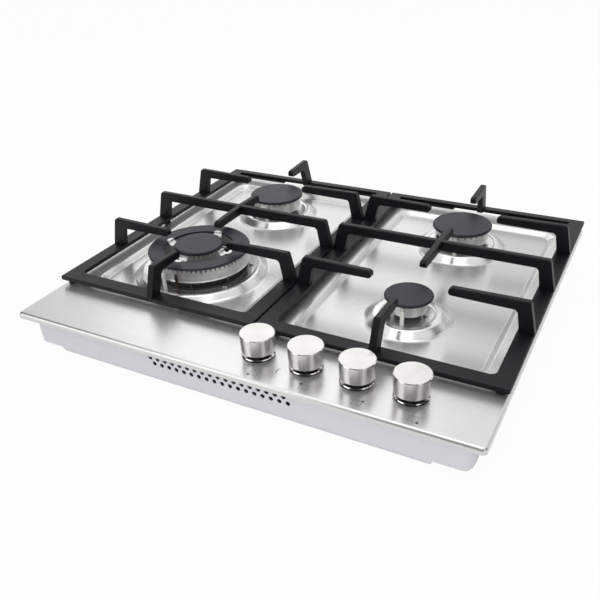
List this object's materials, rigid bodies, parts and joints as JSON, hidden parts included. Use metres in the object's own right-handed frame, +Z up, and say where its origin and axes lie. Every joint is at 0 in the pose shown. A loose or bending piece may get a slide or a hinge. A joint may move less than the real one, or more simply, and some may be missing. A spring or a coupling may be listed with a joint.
{
  "type": "gas cooktop",
  "caption": "built-in gas cooktop: pressed steel plate with control knobs, slotted burners with lift-off caps, cast-iron pan supports and a shallow base pan with gas and cable inlets",
  "frame": {"origin": "middle of the cooktop's bounding box in plan, on the underside of the base pan", "axes": "+X to the right as the user stands at the front, +Y to the back, +Z up"},
  "size_m": [0.58, 0.51, 0.103],
  "materials": {
    "brushed_stainless": "brushed, satin",
    "pan_steel": "matt pale grey coating",
    "plated_steel": "zinc plated",
    "seal_rubber": "matt",
    "black_cast_iron": "matt black enamel",
    "burner_aluminium": "cast and machined",
    "black_enamel": "satin black enamel",
    "knob_metal": "spun top, polished side",
    "valve_brass": "turned",
    "ceramic": "glazed ceramic",
    "dark_plastic": "moulded"
  },
  "bodies": {
    "hob": {"top_plate": "brushed_stainless", "base_pan": "pan_steel", "pan_screws": "plated_steel", "rim_seal": "seal_rubber", "burner_cup_wok": "burner_aluminium", "burner_cup_rear_left": "burner_aluminium", "burner_cup_front_right": "burner_aluminium", "burner_cup_rear_right": "burner_aluminium", "cup_screws": "plated_steel", "gas_jets": "valve_brass", "spark_electrodes": "ceramic", "thermocouples": "plated_steel", "gas_rail": "plated_steel", "gas_inlet": "valve_brass", "knob_bezels": "knob_metal", "spindle_seals": "seal_rubber", "cable_gland": "dark_plastic", "ignition_module": "dark_plastic", "ignition_switches": "dark_plastic", "valve_body_1": "valve_brass", "valve_body_2": "valve_brass", "valve_body_3": "valve_brass", "valve_body_4": "valve_brass", "burner_pipe_1": "burner_aluminium", "burner_pipe_2": "burner_aluminium", "burner_pipe_3": "burner_aluminium", "burner_pipe_4": "burner_aluminium"},
    "valve_plug_1": {"valve_plug_1": "valve_brass"},
    "control_knob_1": {"control_knob_1": "knob_metal", "valve_spindle_1": "plated_steel"},
    "switch_plunger_1": {"switch_plunger_1": "dark_plastic"},
    "valve_plug_2": {"valve_plug_2": "valve_brass"},
    "control_knob_2": {"control_knob_2": "knob_metal", "valve_spindle_2": "plated_steel"},
    "switch_plunger_2": {"switch_plunger_2": "dark_plastic"},
    "valve_plug_3": {"valve_plug_3": "valve_brass"},
    "control_knob_3": {"control_knob_3": "knob_metal", "valve_spindle_3": "plated_steel"},
    "switch_plunger_3": {"switch_plunger_3": "dark_plastic"},
    "valve_plug_4": {"valve_plug_4": "valve_brass"},
    "control_knob_4": {"control_knob_4": "knob_metal", "valve_spindle_4": "plated_steel"},
    "switch_plunger_4": {"switch_plunger_4": "dark_plastic"},
    "pan_support_left": {"pan_support_left": "black_cast_iron", "support_fingers_left": "black_cast_iron", "support_pads_left": "seal_rubber"},
    "pan_support_right": {"pan_support_right": "black_cast_iron", "support_fingers_right": "black_cast_iron", "support_pads_right": "seal_rubber"},
    "crown_rear_left": {"crown_rear_left": "burner_aluminium"},
    "cap_rear_left": {"cap_rear_left": "black_enamel"},
    "crown_front_right": {"crown_front_right": "burner_aluminium"},
    "cap_front_right": {"cap_front_right": "black_enamel"},
    "crown_rear_right": {"crown_rear_right": "burner_aluminium"},
    "cap_rear_right": {"cap_rear_right": "black_enamel"},
    "crown_wok": {"crown_wok": "burner_aluminium"},
    "wok_ring_cap": {"wok_ring_cap": "black_enamel"},
    "wok_centre_cap": {"wok_centre_cap": "black_enamel"}
  },
  "joints": [
    {"name": "knob_1_turn", "type": "hinge", "parent": "hob", "child": "valve_plug_1", "pos_m": [0.0265, -0.2075, 0.038], "axis": [0, 0, 1], "range_deg": [0, 210]},
    {"name": "knob_1_push", "type": "slide", "parent": "valve_plug_1", "child": "control_knob_1", "axis": [0, 0, 1], "range_m": [-0.003, 0], "stiffness_N_per_m": 2500, "springref_m": 0.002},
    {"name": "switch_1_press", "type": "slide", "parent": "hob", "child": "switch_plunger_1", "axis": [0, 0, 1], "range_m": [-0.003, 0]},
    {"name": "knob_2_turn", "type": "hinge", "parent": "hob", "child": "valve_plug_2", "pos_m": [0.0849, -0.2075, 0.038], "axis": [0, 0, 1], "range_deg": [0, 210]},
    {"name": "knob_2_push", "type": "slide", "parent": "valve_plug_2", "child": "control_knob_2", "axis": [0, 0, 1], "range_m": [-0.003, 0], "stiffness_N_per_m": 2500, "springref_m": 0.002},
    {"name": "switch_2_press", "type": "slide", "parent": "hob", "child": "switch_plunger_2", "axis": [0, 0, 1], "range_m": [-0.003, 0]},
    {"name": "knob_3_turn", "type": "hinge", "parent": "hob", "child": "valve_plug_3", "pos_m": [0.1433, -0.2075, 0.038], "axis": [0, 0, 1], "range_deg": [0, 210]},
    {"name": "knob_3_push", "type": "slide", "parent": "valve_plug_3", "child": "control_knob_3", "axis": [0, 0, 1], "range_m": [-0.003, 0], "stiffness_N_per_m": 2500, "springref_m": 0.002},
    {"name": "switch_3_press", "type": "slide", "parent": "hob", "child": "switch_plunger_3", "axis": [0, 0, 1], "range_m": [-0.003, 0]},
    {"name": "knob_4_turn", "type": "hinge", "parent": "hob", "child": "valve_plug_4", "pos_m": [0.2017, -0.2075, 0.038], "axis": [0, 0, 1], "range_deg": [0, 210]},
    {"name": "knob_4_push", "type": "slide", "parent": "valve_plug_4", "child": "control_knob_4", "axis": [0, 0, 1], "range_m": [-0.003, 0], "stiffness_N_per_m": 2500, "springref_m": 0.002},
    {"name": "switch_4_press", "type": "slide", "parent": "hob", "child": "switch_plunger_4", "axis": [0, 0, 1], "range_m": [-0.003, 0]},
    {"name": "pan_support_left_lift", "type": "slide", "parent": "hob", "child": "pan_support_left", "axis": [0, 0, 1], "range_m": [0, 0.12]},
    {"name": "pan_support_right_lift", "type": "slide", "parent": "hob", "child": "pan_support_right", "axis": [0, 0, 1], "range_m": [0, 0.12]},
    {"name": "crown_rear_left_lift", "type": "slide", "parent": "hob", "child": "crown_rear_left", "axis": [0, 0, 1], "range_m": [0, 0.06]},
    {"name": "cap_rear_left_lift", "type": "slide", "parent": "crown_rear_left", "child": "cap_rear_left", "axis": [0, 0, 1], "range_m": [0, 0.06]},
    {"name": "crown_front_right_lift", "type": "slide", "parent": "hob", "child": "crown_front_right", "axis": [0, 0, 1], "range_m": [0, 0.06]},
    {"name": "cap_front_right_lift", "type": "slide", "parent": "crown_front_right", "child": "cap_front_right", "axis": [0, 0, 1], "range_m": [0, 0.06]},
    {"name": "crown_rear_right_lift", "type": "slide", "parent": "hob", "child": "crown_rear_right", "axis": [0, 0, 1], "range_m": [0, 0.06]},
    {"name": "cap_rear_right_lift", "type": "slide", "parent": "crown_rear_right", "child": "cap_rear_right", "axis": [0, 0, 1], "range_m": [0, 0.06]},
    {"name": "crown_wok_lift", "type": "slide", "parent": "hob", "child": "crown_wok", "axis": [0, 0, 1], "range_m": [0, 0.0022]},
    {"name": "wok_ring_cap_lift", "type": "slide", "parent": "crown_wok", "child": "wok_ring_cap", "axis": [0, 0, 1], "range_m": [0, 0.0022]},
    {"name": "wok_centre_cap_lift", "type": "slide", "parent": "crown_wok", "child": "wok_centre_cap", "axis": [0, 0, 1], "range_m": [0, 0.06]}
  ],
  "couplings": [
    {"joint": "switch_1_press", "follows": "knob_1_push", "ratio": 1},
    {"joint": "switch_2_press", "follows": "knob_2_push", "ratio": 1},
    {"joint": "switch_3_press", "follows": "knob_3_push", "ratio": 1},
    {"joint": "switch_4_press", "follows": "knob_4_push", "ratio": 1}
  ]
}
